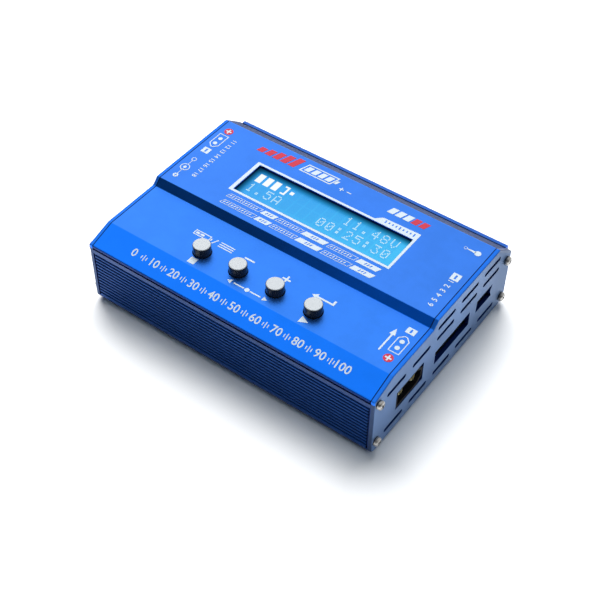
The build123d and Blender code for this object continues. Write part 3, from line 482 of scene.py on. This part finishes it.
# The walls of the display window are painted near black as painted shade.
in_window = (cover_metal.fade(abs(cover_metal.x), WINDOW[0] + 0.12, WINDOW[0] + 0.04)
             * cover_metal.fade(cover_metal.y, WINDOW[1] - 0.12, WINDOW[1] - 0.04)
             * cover_metal.fade(cover_metal.y, WINDOW[2] + 0.12, WINDOW[2] + 0.04))
below_deck = cover_metal.fade(cover_metal.z, DECK - 0.05, DECK - 0.25)
dye_and_shading = cover_metal.mix(in_window * below_deck, dye_and_shading, INNER_SHADE_BLUE)
# The front face of the cover's lip is painted dark as painted shade.
lip = cover_metal.fade(cover_metal.y, -FRONT + 0.12, -FRONT + 0.04)
dye_and_shading = cover_metal.mix(lip, dye_and_shading, LIP_SHADE_BLUE)
# The cover's cut ends, in the seam at the end plates, are painted near black as painted shade.
end_seam_shade = cover_metal.fade(abs(cover_metal.x), cover_high.x * 1000.0 - 0.10, cover_high.x * 1000.0 - 0.03)
dye_and_shading = cover_metal.mix(end_seam_shade, dye_and_shading, INNER_SHADE_BLUE)
blasted(cover_metal, dye_and_shading, on_rear * 0.34 + 0.36)
cover_metal.lay({"Metallic": 1.0 - on_rear * 0.75})
dress(cover_metal, "top_cover")

# ---- End plates -------------------------------------------------------------
# Two flat plates are cut from aluminium sheet with rows of cooling slots and
# the openings for the sockets. The broad faces are painted matte grey-blue as a
# painted reflection, darker to the rear as painted shade. The top milled edges
# show the plate's bright blue; the front and rear ends are painted grey-blue as a
# painted reflection, and the slot and opening walls and the seam near black as
# painted shade.

FACE_REFLECTION_BLUE = (0.155, 0.262, 0.485)
EDGE_BLUE = (0.022, 0.220, 0.95)
END_REFLECTION_BLUE = (0.050, 0.085, 0.180)
REAR_FACE_SHADE_BLUE = (0.062, 0.120, 0.235)
SLOT_SHADE_BLUE = (0.010, 0.042, 0.240)
REAR_DROP = 7.37
PLATE_THICK = 1.5
plate_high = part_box("right_end_plate")[1]
PLATE_FACE = plate_high.x * 1000.0
plate_metal = Finish("grey_blue_plate", Metallic=1.0)
on_face = plate_metal.fade(abs(plate_metal.x), PLATE_FACE - 0.10, PLATE_FACE - 0.04)
rise = plate_metal.node("ShaderNodeMapRange", {}, {"Value": plate_metal.y, "From Min": STEP_FRONT_Y,
                                                     "From Max": STEP_BACK_Y, "To Max": DECK - LOWER_DECK})
fall = plate_metal.node("ShaderNodeMapRange", {}, {"Value": plate_metal.y, "From Min": -FRONT,
                                                   "From Max": SLOPE_TOP_Y,
                                                   "To Min": SLOPE_DROP, "To Max": 0.0})
rear_fall = plate_metal.node("ShaderNodeMapRange", {}, {"Value": plate_metal.y, "From Min": REAR_BREAK_Y,
                                                        "From Max": FRONT, "To Max": REAR_DROP})
profile = rise - fall - rear_fall + LOWER_DECK
top_edge = plate_metal.fade(plate_metal.z - profile, -1.5, -1.1)
end_edge = plate_metal.fade(abs(plate_metal.y), FRONT - 0.5, FRONT - 0.2)
behind = plate_metal.fade(plate_metal.y, REAR_BREAK_Y - 0.2, REAR_BREAK_Y + 0.3)
# Slot and opening walls are painted near black as painted shade; the front and rear ends grey-blue as a
# painted reflection.
edge_dye_and_shading = plate_metal.mix(end_edge, SLOT_SHADE_BLUE, END_REFLECTION_BLUE)
# Behind the rear break the plate's top edge is painted dark as painted shade, as on the cover's rear slope.
edge_dye_and_shading = plate_metal.mix(top_edge, edge_dye_and_shading, plate_metal.mix(behind, EDGE_BLUE, REAR_SHADE_BLUE))
# A thin strip on the plate's inner side, in the seam, is painted near black as painted shade.
seam_shade = plate_metal.fade(abs(plate_metal.x), PLATE_FACE - PLATE_THICK + 0.16, PLATE_FACE - PLATE_THICK + 0.06)
edge_dye_and_shading = plate_metal.mix(seam_shade, edge_dye_and_shading, SLOT_SHADE_BLUE)
# The broad face is painted grey-blue as a painted reflection, darker towards the rear as painted shade.
face_reflection_and_shade = plate_metal.mix(plate_metal.fade(plate_metal.y, 0.0, FRONT), FACE_REFLECTION_BLUE, REAR_FACE_SHADE_BLUE)
blasted(plate_metal, plate_metal.mix(on_face, edge_dye_and_shading, face_reflection_and_shade), 0.46, 0.018)
plate_metal.lay({"Metallic": 1.0 - behind * top_edge * 0.75})
dress(plate_metal, "right_end_plate", "left_end_plate")

# ---- Screws -----------------------------------------------------------------
# Nickel-plated pan-head machine screws, cold formed and polished by tumbling.
# The middle of the head round the cross recess and the underside of the head are
# painted near black as painted shade.

steel = Finish("nickel_plate", Metallic=1.0)
scuff = steel.cloud(0.5, 4.0)
screw_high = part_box("right_plate_screws")[1]
HEAD_FACE = screw_high.x * 1000.0
HEAD_PLACES = ((-39.6, 23.8), (-39.6, 5.6), (39.0, 22.0), (39.0, 4.5))
RECESS = 1.0
FAR_OFF = 9.0
nearest = FAR_OFF
for head_y, head_z in HEAD_PLACES:
    offset = steel.node("ShaderNodeCombineXYZ", {}, {"Y": steel.y - head_y, "Z": steel.z - head_z})
    reach = steel.node("ShaderNodeVectorMath", {"operation": "LENGTH"}, {"Vector": offset}, out="Value")
    nearest = steel.node("ShaderNodeMath", {"operation": "MINIMUM"}, {0: nearest, 1: reach})
# Painted shade: the middle of each head, round the cross recess, and the underside of the head go near
# black.
in_recess = (steel.fade(nearest, RECESS + 0.05, RECESS - 0.05)
             * steel.fade(abs(steel.x), HEAD_FACE - 0.05, HEAD_FACE - 0.12))
under_head = steel.fade(abs(steel.x), HEAD_FACE - 1.15, HEAD_FACE - 1.40)
head_shade = steel.fade(in_recess + under_head, 0.2, 0.9)
worn_steel = steel.mix(steel.fade(scuff, 0.55, 0.75), (0.50, 0.49, 0.47), (0.20, 0.19, 0.18))
steel.lay({"Base Color": steel.mix(head_shade, worn_steel, (0.035, 0.032, 0.030)),
           "Roughness": 0.24 + scuff * 0.2})
steel.emboss(scuff, 0.006, 0.3)
dress(steel, "right_plate_screws", "left_plate_screws", "board_screws", "button_board_screws", "lcd_screws")

# ---- Buttons ----------------------------------------------------------------
# Turned aluminium caps stand on the switches. The flat tops are satin silver
# and the straight sides are painted glossy near black as painted shade where
# they mirror the dark deck, with a small bevel between.

button_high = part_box("stop_button")[1]
BUTTON_TOP = button_high.z * 1000.0
cap = Finish("silver_cap")
on_top = cap.fade(cap.z, BUTTON_TOP - 0.22, BUTTON_TOP - 0.10)
lathe = cap.cloud(0.3, 3.0)
# The sides are painted near black as painted shade, where they mirror the dark deck.
cap.lay({"Base Color": cap.mix(on_top, cap.mix(lathe, (0.010, 0.011, 0.013), (0.022, 0.024, 0.028)),
                               cap.mix(lathe, (0.36, 0.38, 0.40), (0.43, 0.46, 0.48))),
         "Metallic": on_top * 0.35, "Roughness": 0.22 + on_top * 0.2 + lathe * 0.06})
cap.emboss(lathe, 0.008, 0.4)
dress(cap, "stop_button", "minus_button", "plus_button", "start_button")

# ---- Printing ---------------------------------------------------------------
# White and red two-part ink is screened on the anodised decks. It stands a few
# hundredths of a millimetre proud and its skin is slightly uneven.


def ink(name, thin, full):
    finish = Finish(name, Specular_IOR_Level=0.3)
    pores = finish.cloud(0.3, 3.0)
    finish.lay({"Base Color": finish.mix(finish.fade(pores, 0.3, 0.6), thin, full),
                "Roughness": 0.5 + pores * 0.2})
    finish.emboss(pores, 0.01, 0.3)
    return finish


white_ink = ink("white_ink", (0.36, 0.42, 0.48), (0.43, 0.49, 0.54))
red_ink = ink("red_ink", (0.32, 0.022, 0.040), (0.38, 0.026, 0.048))
RIGHT_READING, LEFT_READING = math.pi / 2, -math.pi / 2
INK_LIFT = INK * 0.4
FIGURE_SHARE = 0.72
DISC_CORNERS = 28


def disc(x, y, radius):
    return [(x + radius * math.cos(2 * math.pi * step / DISC_CORNERS),
             y + radius * math.sin(2 * math.pi * step / DISC_CORNERS)) for step in range(DISC_CORNERS)]


def ring(x, y, radius, line):
    return [disc(x, y, radius), disc(x, y, radius - line)]


def cross(x, y, reach, half):
    return [(x - reach, y - half), (x - half, y - half), (x - half, y - reach), (x + half, y - reach),
            (x + half, y - half), (x + reach, y - half), (x + reach, y + half), (x + half, y + half),
            (x + half, y + reach), (x - half, y + reach), (x - half, y + half), (x - reach, y + half)]


def number(words, place, height, tilt=0.0, turn=0.0, bold=0.0):
    """Plain figures of a height in mm, centred on a place."""
    bpy.ops.object.select_all(action="DESELECT")
    bpy.ops.object.text_add()
    text = bpy.context.object
    text.data.body = words
    text.data.size = height * 0.001 / FIGURE_SHARE
    text.data.offset = bold * 0.001
    text.data.resolution_u = 3
    text.data.align_x = "CENTER"
    text.data.align_y = "CENTER"
    return lay_flat(text, place, tilt, turn)


def socket_outline(x0, y0, x1, y1, cut, line):
    """Outline of the two-pin plug with its two cut corners at the y1 end."""
    def loop(inset):
        way = 1 if y1 > y0 else -1
        near, far, small = y0 + inset * way, y1 - inset * way, cut - inset * 0.41
        return [(x0 + inset, near), (x1 - inset, near), (x1 - inset, far - small * way),
                (x1 - inset - small, far), (x0 + inset + small, far), (x0 + inset, far - small * way)]
    return [loop(0.0), loop(line)]


# Frame round the display window, with a tab and its ticks at the back right.
frame_outlines = [
    [(-33.3, 3.0), (32.65, 3.0), (32.65, 22.9), (17.9, 22.5), (15.6, 20.4), (-33.3, 20.4)],
    rectangle(-WINDOW[0] - 0.15, WINDOW[1] - 0.1, WINDOW[0] - 0.1, WINDOW[2] + 0.1),
]
for step in range(9):
    tall = 0.75 if step % 4 == 0 else 0.45
    frame_outlines.append(rectangle(19.4 + step * 1.4, 21.3 - tall, 19.9 + step * 1.4, 21.3 + tall))
top = (0.0, 0.0, DECK + INK_LIFT)
low = (0.0, 0.0, LOWER_DECK + INK_LIFT)
one_piece("window_frame_print", [shape(frame_outlines, top)], white_ink)

# Symbols over the sockets at both ends.
symbols = [
    shape(socket_outline(-54.1, 24.9, -50.1, 17.1, 1.5, 0.3)
          + [disc(-52.1, 22.4, 0.8), disc(-52.2, 19.4, 0.8)], top),
    shape([rectangle(-53.7, 12.9, -50.7, 15.8), rectangle(-52.55, 13.5, -51.85, 15.2)], top),
    shape(ring(-52.5, 8.0, 0.95, 0.25), top),
    shape(ring(-52.5, 2.9, 1.8, 0.32), top),
    shape([disc(-52.5, 2.9, 0.6)], top),
    shape([rectangle(-52.6, 4.7, -52.4, 7.05)], top),
    shape([rectangle(-52.6, -1.4, -52.4, 2.3)], top),
    shape([disc(-52.5, -2.3, 1.0), cross(-52.5, -2.3, 0.6, 0.16)], top),
    number("11 12 13 14 15 16 17 18", (-47.1, 12.75, DECK + INK_LIFT), 1.75, turn=LEFT_READING, bold=0.02),
    shape([rectangle(50.5, 11.1, 53.6, 14.4), rectangle(51.7, 11.8, 52.4, 13.7)], top),
    shape([disc(52.3, 26.4, 1.15)], top),
    shape([[(48.4, 26.25), (51.4, 25.9), (51.4, 26.9), (48.4, 26.55)]], top),
    shape(ring(47.7, 26.4, 0.65, 0.15), top),
]
for count, figure in enumerate("654321"):
    symbols.append(number(figure, (51.8, -2.25 + count * 2.5, DECK + INK_LIFT), 2.0,
                          turn=RIGHT_READING, bold=0.03))
one_piece("deck_symbols", symbols, white_ink)

arrow = [(47.55, -25.8), (48.15, -25.8), (48.15, -18.2), (48.95, -18.2), (47.85, -15.2), (46.75, -18.2),
         (47.55, -18.2)]
lower_symbols = [
    shape(socket_outline(50.0, -24.2, 54.1, -16.4, 1.5, 0.3)
          + [disc(52.1, -21.9, 0.85), disc(52.0, -18.9, 0.85)], low),
    shape([rectangle(50.4, -14.9, 53.7, -12.3), rectangle(51.7, -14.4, 52.4, -12.8)], low),
    shape([arrow], low),
]
PLUS_PLACES = ((52.1, -26.9, low), (-52.15, 27.35, top))
plus_discs = []
for x, y, deck in PLUS_PLACES:
    plus = cross(x, y, 1.15, 0.27)
    plus_discs.append(shape([disc(x, y, 1.7), plus], deck))
    lower_symbols.append(shape([plus], deck))

# Button symbols on the lower deck: a battery and a list, minus, plus and return
# behind the buttons, then stop, a slider and play in front of them.
behind_buttons = (
    (-22.5, [rectangle(-8.2, -1.15, -1.6, 1.15), rectangle(-7.85, -0.8, -1.95, 0.8),
             rectangle(-7.5, -0.45, -6.0, 0.45), rectangle(-5.6, -0.45, -4.1, 0.45),
             rectangle(-1.4, -0.5, -0.9, 0.5),
             [(-0.3, -1.3), (0.15, -1.3), (1.35, 1.3), (0.9, 1.3)],
             rectangle(2.4, 0.75, 8.2, 1.15), rectangle(2.4, -0.2, 8.2, 0.2),
             rectangle(2.4, -1.15, 8.2, -0.75)]),
    (-7.5, [rectangle(-2.0, -0.32, 2.0, 0.32)]),
    (7.5, [cross(0.0, 0.0, 1.6, 0.32)]),
    (22.5, [[(-4.6, -0.3), (-2.6, -1.6), (-2.6, -0.65), (3.9, -0.65), (3.9, 1.5), (3.1, 1.5), (3.1, 0.05),
             (-2.6, 0.05), (-2.6, 1.0)]]))
before_buttons = (
    (-22.5, [rectangle(-1.35, -1.35, 1.35, 1.35)]),
    (0.0, [[(-8.0, 0.0), (-6.3, 0.95), (-6.3, -0.95)], [(8.0, 0.0), (6.3, -0.95), (6.3, 0.95)],
           rectangle(-5.4, -0.25, -1.2, 0.25), disc(0.0, 0.0, 0.85), rectangle(1.2, -0.25, 5.4, 0.25)]),
    (22.5, [[(-1.5, -1.5), (1.6, 0.0), (-1.5, 1.5)]]))
for y, marks in ((-18.5, behind_buttons), (-29.8, before_buttons)):
    for x, outlines in marks:
        lower_symbols.append(shape([[(x + u, y + v) for u, v in outline] for outline in outlines], low))
one_piece("lower_deck_symbols", lower_symbols, white_ink)
one_piece("plus_discs", plus_discs, red_ink)

# Rating table under the window: a slanted box of ticks, then a solid pill.


def slanted(x0, x1, y, half, lean=0.5):
    return [(x0 - lean * half, y - half), (x1 - lean * half, y - half), (x1 + lean * half, y + half),
            (x0 + lean * half, y + half)]


table = []
for y in (0.55, -3.05):
    for box_start, pill_start, pill_end in ((-31.2, -16.6, -11.1), (-10.3, 0.4, 9.6), (10.7, 22.3, 30.4)):
        box_end = pill_start - 0.7
        table.append(shape([slanted(box_start, box_end, y, 1.0),
                            slanted(box_start + 0.2, box_end - 0.2, y, 0.82)], top))
        for tick in range(int((box_end - box_start - 1.2) / 1.1)):
            tick_x = box_start + 0.8 + tick * 1.1
            table.append(shape([slanted(tick_x, tick_x + 0.42, y, 0.42)], top))
        middle = (pill_start + pill_end) / 2
        holes = [slanted(middle + step * 1.05 - 0.25, middle + step * 1.05 + 0.25, y, 0.5)
                 for step in (-1, 0, 1)]
        table.append(shape([slanted(pill_start, pill_end, y, 1.05)] + holes, top))
one_piece("rating_table", table, white_ink)

# Pictograms at the back of the deck: rising red level bars, a white battery with
# a plus and a minus, and a row of three white cells and two red ones.
level_bars = [shape([slanted(-37.6 + step * 3.5, -35.0 + step * 3.5, 26.6 + step * 0.35,
                             1.3 + step * 0.35, 0.35)], top) for step in range(5)]
pictogram = [shape([slanted(-18.8, -5.6, 27.7, 2.3, 0.35), slanted(-18.3, -6.1, 27.7, 1.85, 0.35)], top),
             shape([slanted(-5.4, -4.3, 27.7, 0.9, 0.35)], top)]
pictogram += [shape([slanted(x, x + 2.1, 27.7, 1.35, 0.35)], top) for x in (-17.6, -14.7, -11.8, -8.9)]
pictogram += [shape([cross(-1.6, 25.8, 0.9, 0.2)], top), shape([rectangle(0.6, 25.6, 2.4, 26.0)], top)]
cells_row = [shape([slanted(17.6 + step * 3.1, 20.0 + step * 3.1, 27.2, 1.5, 0.35)], top)
             for step in range(5)]
one_piece("back_pictograms", pictogram + cells_row[:3], white_ink)
one_piece("red_pictograms", level_bars + cells_row[3:], red_ink)

# A plain scale from 0 to 100 along the sloping front, with ticks between.
SLOPE = math.atan2(SLOPE_DROP, SLOPE_RUN)
SCALE_Y, SCALE_START, SCALE_STEP = -37.2, -41.3, 8.35
scale_z = LOWER_DECK + (SCALE_Y - SLOPE_TOP_Y) * SLOPE_DROP / SLOPE_RUN
scale_parts = []
for count in range(11):
    x = SCALE_START + count * SCALE_STEP
    scale_parts.append(number(str(count * 10), (x, SCALE_Y, scale_z + INK_LIFT), 3.0, tilt=SLOPE, bold=0.05))
for count in range(10):
    x = SCALE_START + (count + 0.5) * SCALE_STEP
    ticks = [rectangle(step * 1.0 - 0.17, -tall, step * 1.0 + 0.17, tall)
             for step, tall in ((-1, 0.6), (0, 1.2), (1, 0.6))]
    scale_parts.append(shape(ticks, (x, SCALE_Y, scale_z + INK_LIFT), tilt=SLOPE))
one_piece("front_scale", scale_parts, white_ink)

# ---- Studio -----------------------------------------------------------------
# A white table under one broad soft lamp and a weak cool one. The surroundings,
# bright behind and overhead and dim in front, show only in what mirrors them.

floor_white = Finish("white_table", Roughness=0.9, Specular_IOR_Level=0.1)
fibre = floor_white.cloud(30.0, 3.0)
floor_white.lay({"Base Color": floor_white.mix(fibre, (0.90, 0.90, 0.90), (0.93, 0.93, 0.93))})
bpy.ops.object.select_all(action="DESELECT")
bpy.ops.mesh.primitive_plane_add(size=8.0)
table_top = bpy.context.object
table_top.name = "table_top"
table_top.data.materials.append(floor_white.material)


def lamp(name, place, size, power):
    bpy.ops.object.light_add(type="AREA", location=place)
    made = bpy.context.object
    made.name = name
    made.data.shape = "SQUARE"
    made.data.size = size
    made.data.energy = power
    made.rotation_euler = (-made.location).to_track_quat("-Z", "Y").to_euler()
    made.visible_glossy = False
    return made


lamp("overhead", (-0.47, 0.55, 1.05), 1.25, 42.0)
cool_fill = lamp("cool_fill", (0.9, -0.3, 0.9), 1.0, 5.0)
cool_fill.data.color = (0.70, 0.84, 1.0)

studio = bpy.data.worlds.new("studio")
bpy.context.scene.world = studio
studio.use_nodes = True
sky = studio.node_tree
facing = sky.nodes.new("ShaderNodeTexCoord")
split = sky.nodes.new("ShaderNodeSeparateXYZ")
sky.links.new(facing.outputs["Generated"], split.inputs[0])
lean = sky.nodes.new("ShaderNodeMath")
lean.operation = "MULTIPLY_ADD"
sky.links.new(split.outputs["Y"], lean.inputs[0])
lean.inputs[1].default_value = 1.15
sky.links.new(split.outputs["Z"], lean.inputs[2])
spread = sky.nodes.new("ShaderNodeMapRange")
spread.interpolation_type = "SMOOTHSTEP"
sky.links.new(lean.outputs[0], spread.inputs["Value"])
spread.inputs["From Min"].default_value = 0.0
spread.inputs["From Max"].default_value = 0.9
spread.inputs["To Min"].default_value = 0.16
spread.inputs["To Max"].default_value = 1.0
leftward = sky.nodes.new("ShaderNodeMapRange")
sky.links.new(split.outputs["X"], leftward.inputs["Value"])
leftward.inputs["From Min"].default_value = 0.35
leftward.inputs["From Max"].default_value = -0.55
leftward.inputs["To Min"].default_value = 0.52
leftward.inputs["To Max"].default_value = 1.36
strength = sky.nodes.new("ShaderNodeMath")
strength.operation = "MULTIPLY"
sky.links.new(spread.outputs[0], strength.inputs[0])
sky.links.new(leftward.outputs[0], strength.inputs[1])
sky.links.new(strength.outputs[0], sky.nodes["Background"].inputs["Strength"])
sky.nodes["Background"].inputs["Color"].default_value = (1.0, 1.0, 1.0, 1.0)
studio.cycles_visibility.diffuse = False

CAMERA_PLACE, CAMERA_LENS = (0.1694, -0.2401, 0.3121), 73.11
TURN, PITCH, ROLL = 35.23, 46.78, 0.89
bpy.ops.object.camera_add(location=CAMERA_PLACE)
camera = bpy.context.object
camera.name = "camera"
camera.data.lens = CAMERA_LENS
camera.data.sensor_width = 36.0
camera.data.clip_start = 0.01
camera.data.clip_end = 20.0
turned = (Matrix.Rotation(math.radians(TURN), 3, "Z")
          @ Matrix.Rotation(math.radians(90.0 - PITCH), 3, "X")
          @ Matrix.Rotation(math.radians(ROLL), 3, "Z"))
camera.rotation_euler = turned.to_euler()
bpy.context.scene.camera = camera
bpy.context.scene.view_settings.view_transform = "Standard"
